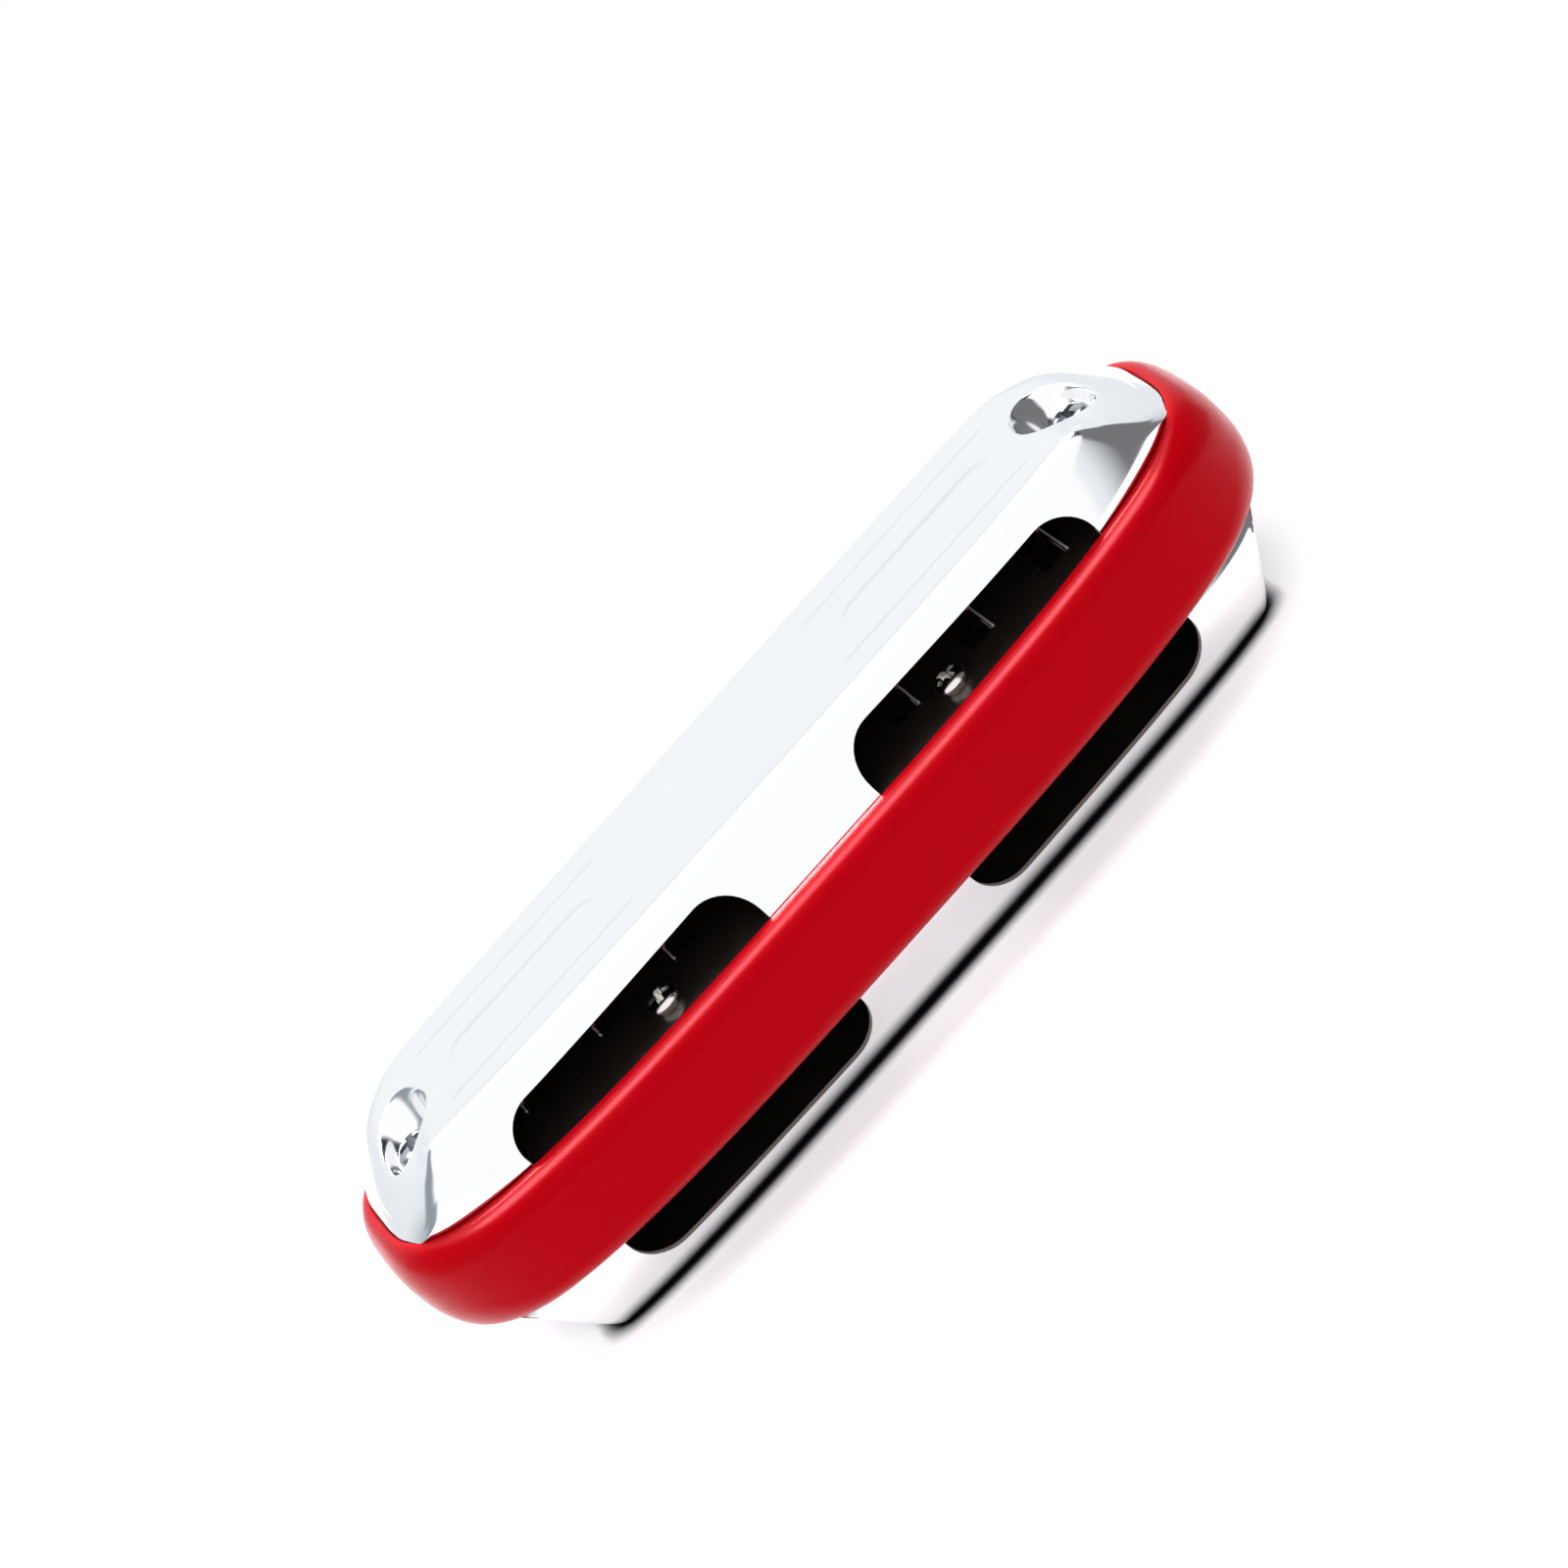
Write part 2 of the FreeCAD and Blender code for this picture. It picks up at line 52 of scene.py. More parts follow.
# Sizes of the covers and the comb, in metres
RING_POINTS = 640
CURVE_STEPS = 4000
COMB_LIP = 2.3 * MM
EDGE_ACROSS = 2.1 * MM
EDGE_DOWN_REAR = 2.0 * MM
EDGE_DOWN_ENDS = 4.2 * MM
RECESS_CLEARANCE = 0.18 * MM
WIDEST_BEFORE_MIDDLE = 1.3 * MM
FOOT_SQUARENESS = np.array([3.3, 3.3])
TOP_SQUARENESS = np.array([4.5, 6.0])
SQUARENESS_TURN = 0.4
TOP_LEAN = 2.7 * MM
BOTTOM_LEAN = 1.2 * MM
RIDGE_ROUND = 1.2 * MM
RIDGE_TURN = 4.5
FRONT_SLOPE = 6.2 * MM
FRONT_TURN = 1.4
END_LEAN = 1.6 * MM
END_SLOPE = 9.8 * MM
END_SLOPE_LESS = 2.7 * MM
END_TURN = 2.0
END_TURN_LESS = 0.34
END_START = 0.25 * MM
END_BOW = 1.27 * MM
END_BOW_WIDTH = 6.6 * MM
END_ASIDE_MOST = 2.2
CREASE_SOFTNESS = 2.4 * MM
CREASE_SOFT_RISE = 3.0 * MM
CREASE_SOFT_LEAST = 0.02
CREASE_CLEAR_FROM = 0.6
CREASE_CLEAR_OVER = 0.8
SHEET = 0.5 * MM
FLANGE = 1.2 * MM

comb_low, comb_high = (Vector(corner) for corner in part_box("comb"))
plate_low, plate_high = (Vector(corner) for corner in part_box("blow_reed_plate"))
middle = (comb_low.z + comb_high.z) / 2
lip_top = comb_high.z
cover_top = 2 * middle
rise = cover_top - lip_top
foot_length = comb_high.x - COMB_LIP
foot_rear = comb_high.y - COMB_LIP
foot_front = -foot_rear


# Outlines and rings
def outline(half_length, rear, front, widest, squareness, outset=0.0):
    """Evenly spaced points of a rounded plan outline, moved out square to it.

    Squareness has one value for the half behind the widest place and one for
    the half in front of it.
    """
    turn = np.linspace(0, 2 * math.pi, CURVE_STEPS, endpoint=False)
    cosine, sine = np.cos(turn), np.sin(turn)
    reach = np.where(sine >= 0, rear - widest, widest - front)
    power = 2 / np.where(sine >= 0, *squareness)
    x = half_length * np.sign(cosine) * np.abs(cosine) ** power
    y = widest + reach * np.sign(sine) * np.abs(sine) ** power
    points = np.stack([x, y], axis=1)
    closed = np.vstack([points, points[:1]])
    steps = np.linalg.norm(np.diff(closed, axis=0), axis=1)
    length = np.concatenate([[0], np.cumsum(steps)])
    wanted = np.linspace(0, length[-1], RING_POINTS, endpoint=False)
    points = np.stack([np.interp(wanted, length, closed[:, axis]) for axis in (0, 1)],
                      axis=1)
    along = np.roll(points, -1, axis=0) - np.roll(points, 1, axis=0)
    along /= np.linalg.norm(along, axis=1)[:, None]
    return points + outset * np.stack([along[:, 1], -along[:, 0]], axis=1)


def ring(points, height):
    return np.column_stack([points, np.full(len(points), height)])


def foot_ring(outset, height):
    points = outline(foot_length, foot_rear, foot_front, -WIDEST_BEFORE_MIDDLE,
                     FOOT_SQUARENESS, outset)
    return ring(points, height)


def across(first, count):
    """Faces over a ring, between the points that stand opposite each other."""
    faces = []
    for step in range(count // 2):
        corners = [first + step, first + step + 1, first + count - step - 1,
                   first + (count - step) % count]
        faces.append(list(dict.fromkeys(corners)))
    return faces


def ring_mesh(name, rings):
    """A closed mesh through rings of equal size, with faces over each end."""
    count = len(rings[0])
    points = np.vstack(rings)
    faces = [face[::-1] for face in across(0, count)]
    for row in range(len(rings) - 1):
        first = row * count
        for step in range(count):
            after = (step + 1) % count
            faces.append([first + step, first + after,
                          first + count + after, first + count + step])
    faces += across((len(rings) - 1) * count, count)
    mesh = bpy.data.meshes.new(name)
    mesh.from_pydata(points.tolist(), [], faces)
    mesh.update()
    piece = bpy.data.objects.new(name, mesh)
    bpy.context.collection.objects.link(piece)
    return piece


def smooth(piece, degrees=35):
    piece.data.shade_smooth()
    piece.data.set_sharp_from_angle(angle=math.radians(degrees))


def take_away(piece, cutters):
    """Cut the cutters out of the piece, and delete them."""
    for cutter in cutters:
        change = piece.modifiers.new("cut", "BOOLEAN")
        change.operation = "DIFFERENCE"
        change.object = cutter
        change.solver = "EXACT"
        change.material_mode = "TRANSFER"
        shape = piece.evaluated_get(bpy.context.evaluated_depsgraph_get())
        mesh = bpy.data.meshes.new_from_object(shape)
        piece.modifiers.remove(change)
        old = piece.data
        piece.data = mesh
        bpy.data.meshes.remove(old)
        bpy.data.objects.remove(cutter)


def block(name, low, high, round_axis=None, radius=0.0, rounded=None, segments=10):
    """A box, with those of its edges along one axis rounded that rounded accepts."""
    mesh = bpy.data.meshes.new(name)
    shape = bmesh.new()
    bmesh.ops.create_cube(shape, size=1)
    low, high = Vector(low), Vector(high)
    for vertex in shape.verts:
        for axis in range(3):
            vertex.co[axis] = low[axis] if vertex.co[axis] < 0 else high[axis]
    if round_axis is not None:
        chosen = []
        for edge in shape.edges:
            first, second = edge.verts
            side = abs(first.co[round_axis] - second.co[round_axis])
            centre = (first.co + second.co) / 2
            if side > 0 and (rounded is None or rounded(centre)):
                chosen.append(edge)
        bmesh.ops.bevel(shape, geom=chosen, offset=radius, segments=segments,
                        profile=0.5, affect="EDGES")
    shape.to_mesh(mesh)
    shape.free()
    piece = bpy.data.objects.new(name, mesh)
    bpy.context.collection.objects.link(piece)
    return piece


def turned(name, profile, centre, sides=48):
    """A turned piece through pairs of radius and height, lowest first."""
    turn = np.linspace(0, 2 * math.pi, sides, endpoint=False)
    circle = np.stack([np.cos(turn), np.sin(turn)], axis=1)
    return ring_mesh(name, [ring(np.array(centre) + radius * circle, height)
                            for radius, height in profile])


def gather(name, pieces):
    """One object from several."""
    shape = bmesh.new()
    for piece in pieces:
        shape.from_mesh(piece.data)
        bpy.data.meshes.remove(piece.data)
    mesh = bpy.data.meshes.new(name)
    shape.to_mesh(mesh)
    shape.free()
    made = bpy.data.objects.new(name, mesh)
    bpy.context.collection.objects.link(made)
    return made


# A row of copies along X, made by nodes
def row_nodes():
    tree = bpy.data.node_groups.new("row_along_x", "GeometryNodeTree")
    for name, kind, way in (("Geometry", "NodeSocketGeometry", "INPUT"),
                            ("Count", "NodeSocketInt", "INPUT"),
                            ("Pitch", "NodeSocketFloat", "INPUT"),
                            ("Finish", "NodeSocketMaterial", "INPUT"),
                            ("Geometry", "NodeSocketGeometry", "OUTPUT")):
        tree.interface.new_socket(name, in_out=way, socket_type=kind)
    source = tree.nodes.new("NodeGroupInput")
    result = tree.nodes.new("NodeGroupOutput")
    line = tree.nodes.new("GeometryNodeMeshLine")
    step = tree.nodes.new("ShaderNodeCombineXYZ")
    copies = tree.nodes.new("GeometryNodeInstanceOnPoints")
    whole = tree.nodes.new("GeometryNodeRealizeInstances")
    tree.links.new(source.outputs["Pitch"], step.inputs["X"])
    tree.links.new(step.outputs["Vector"], line.inputs["Offset"])
    tree.links.new(source.outputs["Count"], line.inputs["Count"])
    tree.links.new(line.outputs["Mesh"], copies.inputs["Points"])
    tree.links.new(source.outputs["Geometry"], copies.inputs["Instance"])
    tree.links.new(copies.outputs["Instances"], whole.inputs["Geometry"])
    finished = tree.nodes.new("GeometryNodeSetMaterial")
    tree.links.new(whole.outputs["Geometry"], finished.inputs["Geometry"])
    tree.links.new(source.outputs["Finish"], finished.inputs["Material"])
    tree.links.new(finished.outputs["Geometry"], result.inputs["Geometry"])
    return tree


def row_along_x(piece, count, pitch, finish_of_row):
    """Turn the piece, which stands at the first place, into a row of copies."""
    change = piece.modifiers.new("row", "NODES")
    change.node_group = row_tree
    names = {item.name: item.identifier for item in row_tree.interface.items_tree
             if item.in_out == "INPUT"}
    change[names["Count"]] = count
    change[names["Pitch"]] = pitch
    change[names["Finish"]] = finish_of_row
    shape = piece.evaluated_get(bpy.context.evaluated_depsgraph_get())
    mesh = bpy.data.meshes.new_from_object(shape)
    piece.modifiers.remove(change)
    piece.data = mesh
    return piece


row_tree = row_nodes()


# Materials
def joined(nodes, links, operation, first, second):
    """A math node between two sockets or values."""
    made = nodes.new("ShaderNodeMath")
    made.operation = operation
    for place, value in enumerate((first, second)):
        if isinstance(value, (int, float)):
            made.inputs[place].default_value = value
        else:
            links.new(value, made.inputs[place])
    return made.outputs[0]


def fade(nodes, links, value, start, end):
    """A smooth step from 0 at start to 1 at end."""
    made = nodes.new("ShaderNodeMapRange")
    made.interpolation_type = "SMOOTHSTEP"
    made.inputs["From Min"].default_value = start
    made.inputs["From Max"].default_value = end
    links.new(value, made.inputs["Value"])
    return made.outputs["Result"]


FINE_GRAIN = 9
GRAIN_HEIGHT = 0.02 * MM
GRAIN_SPREAD = (0.3, 0.7)


def grain_nodes():
    """A shared group: fine uneven roughness and bump from object coordinates."""
    tree = bpy.data.node_groups.new("fine_grain", "ShaderNodeTree")
    for name, kind, way in (("Scale", "NodeSocketFloat", "INPUT"),
                            ("Smoothest", "NodeSocketFloat", "INPUT"),
                            ("Roughest", "NodeSocketFloat", "INPUT"),
                            ("Bump", "NodeSocketFloat", "INPUT"),
                            ("Stretch", "NodeSocketVector", "INPUT"),
                            ("Roughness", "NodeSocketFloat", "OUTPUT"),
                            ("Shade", "NodeSocketFloat", "OUTPUT"),
                            ("Normal", "NodeSocketVector", "OUTPUT")):
        tree.interface.new_socket(name, in_out=way, socket_type=kind)
    source = tree.nodes.new("NodeGroupInput")
    result = tree.nodes.new("NodeGroupOutput")
    place = tree.nodes.new("ShaderNodeTexCoord")
    broad = tree.nodes.new("ShaderNodeTexNoise")
    broad.inputs["Detail"].default_value = 4
    fine = tree.nodes.new("ShaderNodeTexNoise")
    fine.inputs["Detail"].default_value = 2
    finer = tree.nodes.new("ShaderNodeMath")
    finer.operation = "MULTIPLY"
    finer.inputs[1].default_value = FINE_GRAIN
    spread = tree.nodes.new("ShaderNodeMapRange")
    spread.inputs["From Min"].default_value = GRAIN_SPREAD[0]
    spread.inputs["From Max"].default_value = GRAIN_SPREAD[1]
    bump = tree.nodes.new("ShaderNodeBump")
    bump.inputs["Distance"].default_value = GRAIN_HEIGHT
    drawn = tree.nodes.new("ShaderNodeVectorMath")
    drawn.operation = "MULTIPLY"
    tree.links.new(place.outputs["Object"], drawn.inputs[0])
    tree.links.new(source.outputs["Stretch"], drawn.inputs[1])
    for noise in (broad, fine):
        tree.links.new(drawn.outputs["Vector"], noise.inputs["Vector"])
    tree.links.new(source.outputs["Scale"], broad.inputs["Scale"])
    tree.links.new(source.outputs["Scale"], finer.inputs[0])
    tree.links.new(finer.outputs[0], fine.inputs["Scale"])
    tree.links.new(broad.outputs["Fac"], spread.inputs["Value"])
    tree.links.new(source.outputs["Smoothest"], spread.inputs["To Min"])
    tree.links.new(source.outputs["Roughest"], spread.inputs["To Max"])
    tree.links.new(fine.outputs["Fac"], bump.inputs["Height"])
    tree.links.new(source.outputs["Bump"], bump.inputs["Strength"])
    tree.links.new(spread.outputs["Result"], result.inputs["Roughness"])
    tree.links.new(broad.outputs["Fac"], result.inputs["Shade"])
    tree.links.new(bump.outputs["Normal"], result.inputs["Normal"])
    return tree


grain_tree = grain_nodes()


def material(name, darker, lighter, roughness, metallic=0.0, scale=400.0, bump=0.2,
             specular=0.5, stretch=(1, 1, 1)):
    """A finish between two close colours, with uneven roughness and fine grain."""
    made = bpy.data.materials.new(name)
    made.use_nodes = True
    nodes, links = made.node_tree.nodes, made.node_tree.links
    shader = nodes["Principled BSDF"]
    shader.inputs["Metallic"].default_value = metallic
    shader.inputs["Specular IOR Level"].default_value = specular
    grain = nodes.new("ShaderNodeGroup")
    grain.node_tree = grain_tree
    grain.inputs["Scale"].default_value = scale
    grain.inputs["Smoothest"].default_value = roughness[0]
    grain.inputs["Roughest"].default_value = roughness[1]
    grain.inputs["Bump"].default_value = bump
    grain.inputs["Stretch"].default_value = stretch
    colours = nodes.new("ShaderNodeMix")
    colours.data_type = "RGBA"
    colours.inputs["A"].default_value = (*darker, 1)
    colours.inputs["B"].default_value = (*lighter, 1)
    links.new(grain.outputs["Shade"], colours.inputs["Factor"])
    links.new(colours.outputs["Result"], shader.inputs["Base Color"])
    links.new(grain.outputs["Roughness"], shader.inputs["Roughness"])
    links.new(grain.outputs["Normal"], shader.inputs["Normal"])
    return made


red_plastic = material("red_plastic", (0.47, 0.0, 0.004), (0.5, 0.0, 0.006),
                       (0.22, 0.25), scale=300, bump=0.01, specular=0.12)
red_shader = red_plastic.node_tree.nodes["Principled BSDF"]
red_shader.inputs["Specular Tint"].default_value = (1.0, 0.14, 0.18, 1)
red_shader.inputs["Sheen Weight"].default_value = 0.25
red_shader.inputs["Sheen Roughness"].default_value = 0.3
red_shader.inputs["Sheen Tint"].default_value = (1.0, 0.35, 0.35, 1)
chrome = material("bright_chrome", (0.845, 0.85, 0.86), (0.87, 0.875, 0.885),
                  (0.09, 0.13), metallic=1, scale=600, bump=0.005, stretch=(0.12, 1, 1))
# Near-black inner skin of the covers: painted shade of the closed space under them.
inside = material("inside_painted_shade", (0.008, 0.007, 0.006), (0.014, 0.012, 0.01),
                  (0.5, 0.7), scale=300)
cut_edge = material("bright_cut_edge", (0.72, 0.7, 0.66), (0.82, 0.8, 0.76),
                    (0.4, 0.55), metallic=0.4, scale=900)
# Near-white strips beside the slots: a raised burr, its colour a painted glint in the dark
# under the covers.
slot_edge_glint = material("slot_edge_glint", (0.9, 0.88, 0.85), (0.98, 0.96, 0.93),
                        (0.3, 0.45), scale=900)
# Reed plates: the brass tint is their own, but the near-black darkness is painted shade
# under the covers.
plate_brass = material("plate_brass", (0.06, 0.045, 0.04), (0.09, 0.07, 0.06),
                       (0.16, 0.26), metallic=0.75, scale=600, bump=0.05)
reed_brass = material("reed_brass", (0.6, 0.48, 0.26), (0.68, 0.55, 0.32),
                      (0.2, 0.32), metallic=1, scale=900)
screw_steel = material("screw_steel", (0.74, 0.72, 0.7), (0.8, 0.79, 0.77),
                       (0.08, 0.2), metallic=1, scale=900)
dark_steel = material("dark_steel", (0.3, 0.31, 0.33), (0.46, 0.47, 0.49),
                      (0.12, 0.25), metallic=1, scale=900)


def finish(piece, *finishes):
    piece.data.materials.clear()
    for each in finishes:
        piece.data.materials.append(each)


# Covers
def turn_in(share, power):
    return 1 - (1 - share ** power) ** (1 / power)


FLAT_FRONT = foot_front + FRONT_SLOPE
OUTER_LEVELS = 48
INNER_LEVELS = 16
OUTER_STEP = 0.25 * MM
INNER_STEP = 0.5 * MM


def flat_rear(lean):
    """Where the flat top ends behind."""
    return foot_rear - lean - RIDGE_ROUND


def flat_middle(lean):
    return (flat_rear(lean) + FLAT_FRONT) / 2


def level_ring(share, skin, lean):
    """The dome's outline at a share of its height, with the skin taken off."""
    rear = foot_rear - lean * share - RIDGE_ROUND * turn_in(share, RIDGE_TURN)
    front = foot_front + FRONT_SLOPE * turn_in(share, FRONT_TURN)
    half_length = foot_length - END_LEAN * share - RIDGE_ROUND * turn_in(share, RIDGE_TURN)
    squarer = (TOP_SQUARENESS - FOOT_SQUARENESS) * share ** SQUARENESS_TURN
    squareness = FOOT_SQUARENESS + squarer
    widest = -WIDEST_BEFORE_MIDDLE
    widest += (flat_middle(lean) + WIDEST_BEFORE_MIDDLE) * share
    points = outline(half_length, rear, front, widest, squareness, -skin)
    return ring(points, lip_top + (rise - skin) * share)


def dome_rings(skin, levels, lean):
    turns = np.linspace(0, math.pi / 2, levels + 1)
    return [level_ring(math.sin(turn), skin, lean) for turn in turns]


def flat_rings(skin, step, lean):
    """Rings inside the flat top, drawn in evenly to its middle line."""
    half_length = foot_length - END_LEAN - RIDGE_ROUND
    half_depth = (flat_rear(lean) - FLAT_FRONT) / 2
    rings = []
    inset = skin + step
    while inset < half_depth:
        points = outline(half_length - inset, flat_rear(lean) - inset,
                         FLAT_FRONT + inset, flat_middle(lean), TOP_SQUARENESS)
        rings.append(ring(points, cover_top - skin))
        inset += step
    return rings


def softer_low(first, second, softness):
    """The lower of two heights, with the corner between them rounded."""
    blend = np.clip(0.5 + 0.5 * (second - first) / softness, 0, 1)
    return second + (first - second) * blend - softness * blend * (1 - blend)


def end_slope_height(points, skin):
    """Heights of the bowed slopes that come down from the flat top to the ends."""
    aside = ((points[:, 1] + WIDEST_BEFORE_MIDDLE) / END_BOW_WIDTH) ** 2
    aside = np.minimum(aside, END_ASIDE_MOST)
    start = foot_length + END_START - END_BOW * aside - skin
    inward = (start - np.abs(points[:, 0])) / (END_SLOPE - END_SLOPE_LESS * aside)
    along = np.clip(inward, 0, 1)
    share = 1 - (1 - along) ** (END_TURN - END_TURN_LESS * aside)
    clear = np.clip((inward - CREASE_CLEAR_FROM) / CREASE_CLEAR_OVER, 0, 1)
    lift = CREASE_SOFTNESS * clear * clear * (3 - 2 * clear)
    return lip_top + (rise - skin) * share + lift


def slope_ends(points, skin):
    """Heights with the end slopes cut off the dome, along a soft crease."""
    above = (points[:, 2] - lip_top) / CREASE_SOFT_RISE
    softness = CREASE_SOFTNESS * np.clip(above, CREASE_SOFT_LEAST, 1)
    lowered = softer_low(points[:, 2], end_slope_height(points, skin), softness)
    return np.where(points[:, 2] > lip_top, np.maximum(lowered, lip_top), points[:, 2])


DIMPLE_ACROSS = 34.5 * MM
DIMPLE_BACK = 1.1 * MM
DIMPLE_DEPTH = 3.3 * MM
DIMPLE_FLOOR_RADIUS = 1.8 * MM
DIMPLE_MOUTH_RADIUS = 3.2 * MM
DIMPLE_POWER = 2.0
DIMPLE_SHOULDER = 0.9 * MM
DIMPLE_FRONT_SHARE = 0.76
DIMPLE_FINE_RADIUS = 4.4 * MM


def from_dimple(points, side):
    """Distance from a dimple's middle, less in front, where the bowl is longer."""
    back = points[:, 1] - DIMPLE_BACK
    back = np.where(back < 0, back * DIMPLE_FRONT_SHARE, back)
    return np.hypot(points[:, 0] - side * DIMPLE_ACROSS, back)


def dimple_height(distance, skin):
    """The pressed bowl's height at a distance from its middle."""
    width = DIMPLE_MOUTH_RADIUS - DIMPLE_FLOOR_RADIUS
    out = np.clip(distance - skin - DIMPLE_FLOOR_RADIUS, 0, None) / width
    floor = cover_top - DIMPLE_DEPTH - skin
    return floor + DIMPLE_DEPTH * out ** DIMPLE_POWER


def finer_near_dimples(piece):
    """Smaller faces round each dimple, in both skins."""
    shape = bmesh.new()
    shape.from_mesh(piece.data)
    for side in (-1, 1):
        centre = Vector((side * DIMPLE_ACROSS, DIMPLE_BACK))
        near = set()
        for face in shape.faces:
            spot = face.calc_center_median()
            if len(face.verts) == 4 and (spot.xy - centre).length < DIMPLE_FINE_RADIUS:
                if spot.z > lip_top + SHEET:
                    near.update(face.edges)
        bmesh.ops.subdivide_edges(shape, edges=list(near), cuts=2, use_grid_fill=True)
    shape.to_mesh(piece.data)
    shape.free()


def pressed(points, skin):
    """Heights of the points after the end slopes and the dimples are pressed in."""
    heights = slope_ends(points, skin)
    for side in (-1, 1):
        distance = from_dimple(points, side)
        near = distance < DIMPLE_FINE_RADIUS
        bowl = dimple_height(distance, skin)
        heights = np.where(near, softer_low(heights, bowl, DIMPLE_SHOULDER), heights)
    return heights


BAR_FROM_END = 14.2 * MM
BAR_LENGTH = 15.4 * MM
BAR_WIDTH = 3.85 * MM
BAR_BACK = 1.98 * MM
LINE_FROM_END = 12.6 * MM
LINE_LENGTH = 19.0 * MM
LINE_WIDTH = 0.35 * MM
LINES_BACK = (-2.8 * MM, 5.95 * MM)
PRESS_DEPTH = 0.06 * MM
PRESS_SOFTNESS = 0.6 * MM


def slot_depth(points, from_end, length, width, back):
    """How deep a soft-edged pressed slot is at each point."""
    outer = comb_high.x - from_end - width / 2
    inner = comb_high.x - from_end - length + width / 2
    aside = np.abs(points[:, 0])
    beyond = np.maximum(aside - outer, 0) + np.maximum(inner - aside, 0)
    edge = np.hypot(beyond, points[:, 1] - back) - width / 2
    share = np.clip(0.5 - edge / PRESS_SOFTNESS, 0, 1)
    return PRESS_DEPTH * share * share * (3 - 2 * share)


def press_lines(points):
    depth = slot_depth(points, BAR_FROM_END, BAR_LENGTH, BAR_WIDTH, BAR_BACK)
    for back in LINES_BACK:
        depth += slot_depth(points, LINE_FROM_END, LINE_LENGTH, LINE_WIDTH, back)
    return depth


WINDOW_INNER = 5.72 * MM
WINDOW_OUTER = 29.58 * MM
WINDOW_HEIGHT = 3.95 * MM
WINDOW_CORNER = 3.2 * MM
WINDOW_FALL = 0.3 * MM
BORE_RADIUS = 1.1 * MM


def window_cutters(lean):
    made = []
    for side in (-1, 1):
        ends = sorted((side * WINDOW_INNER, side * WINDOW_OUTER))
        made.append(block("window", (ends[0], flat_rear(lean), plate_high.z - MM),
                          (ends[1], foot_rear + COMB_LIP, lip_top + WINDOW_HEIGHT),
                          1, WINDOW_CORNER, lambda spot: spot.z > lip_top + MM))
        for vertex in made[-1].data.vertices:
            outward = (abs(vertex.co.x) - WINDOW_INNER) / (WINDOW_OUTER - WINDOW_INNER)
            upward = max(vertex.co.z - lip_top, 0) / WINDOW_HEIGHT
            vertex.co.z -= WINDOW_FALL * outward * upward
        finish(made[-1], cut_edge)
    return made


def cover_mesh(name, lean):
    inner = dome_rings(SHEET, INNER_LEVELS, lean) + flat_rings(SHEET, INNER_STEP, lean)
    inner = inner[::-1]
    flange = [foot_ring(-FLANGE, lip_top), foot_ring(-FLANGE, plate_high.z),
              foot_ring(0, plate_high.z)]
    outer = dome_rings(0, OUTER_LEVELS, lean) + flat_rings(0, OUTER_STEP, lean)
    piece = ring_mesh(name, inner + flange + outer)
    inner_count = (len(inner) + 1) * RING_POINTS
    mark = piece.data.attributes.new("inside", "FLOAT", "POINT")
    values = np.zeros(len(piece.data.vertices), dtype=np.float32)
    values[:inner_count] = 1
    mark.data.foreach_set("value", values)
    return piece


def shape_cover(piece):
    """Press the dimples and lines; the inner skin gets its own heights, without the lines.
    """
    finer_near_dimples(piece)
    mesh = piece.data
    points = np.empty(len(mesh.vertices) * 3)
    mesh.vertices.foreach_get("co", points)
    points = points.reshape(-1, 3)
    inner = np.empty(len(mesh.vertices), dtype=np.float32)
    mesh.attributes["inside"].data.foreach_get("value", inner)
    is_inner = inner > 0.5
    lines = np.where(is_inner, 0, press_lines(points))
    lines *= points[:, 2] > cover_top - MM
    outer_heights = pressed(points, 0) - lines
    inner_heights = pressed(points, SHEET)
    points[:, 2] = np.where(is_inner, inner_heights, outer_heights)
    mesh.vertices.foreach_set("co", points.ravel())
    mesh.update()


def make_cover(name, lean):
    piece = cover_mesh(name, lean)
    shape_cover(piece)
    finish(piece, chrome, inside)
    # Faces of the inner skin take the near-black inside finish, which is painted shade under
    # the cover.
    mark = piece.data.attributes["inside"].data
    for face in piece.data.polygons:
        if any(mark[vertex].value > 0.5 for vertex in face.vertices):
            face.material_index = 1
    cutters = window_cutters(lean)
    floor = cover_top - DIMPLE_DEPTH
    for side in (-1, 1):
        cutters.append(turned("bore", ((BORE_RADIUS, floor - MM), (BORE_RADIUS, floor + MM)),
                              (side * DIMPLE_ACROSS, DIMPLE_BACK)))
        finish(cutters[-1], cut_edge)
    take_away(piece, cutters)
    smooth(piece)
    return piece


def make_bottom_cover():
    """The same pressing turned over, with a steeper rear wall."""
    piece = make_cover("bottom_cover_sheet", BOTTOM_LEAN)
    piece.data.transform(Matrix.Translation((0, 0, 2 * middle))
                         @ Matrix.Diagonal((1, 1, -1, 1)))
    piece.data.flip_normals()
    return piece


# Comb
HOLE_COUNT = 8
HOLE_PITCH = 7.5 * MM
HOLE_WIDTH = 5.0 * MM
MOUTH_HEIGHT = 5.0 * MM
MOUTH_CORNER = 0.8 * MM
MOUTH_CORNER_STEPS = 6
MOUTH_WALL = 3.6 * MM
CHAMBER_PAST_REED = 1.2 * MM
EDGE_STEPS = 20
EDGE_ENDS_FROM = 0.35
EDGE_ENDS_OVER = 0.55


def edge_depth():
    """How far down the rounded edge reaches: further round the ends."""
    along = foot_ring(0, 0)
    along = np.roll(along, -1, axis=0) - np.roll(along, 1, axis=0)
    facing = np.abs(along[:, 1]) / np.hypot(along[:, 0], along[:, 1])
    share = np.clip((facing - EDGE_ENDS_FROM) / EDGE_ENDS_OVER, 0, 1)
    share = share * share * (3 - 2 * share)
    return EDGE_DOWN_REAR + (EDGE_DOWN_ENDS - EDGE_DOWN_REAR) * share


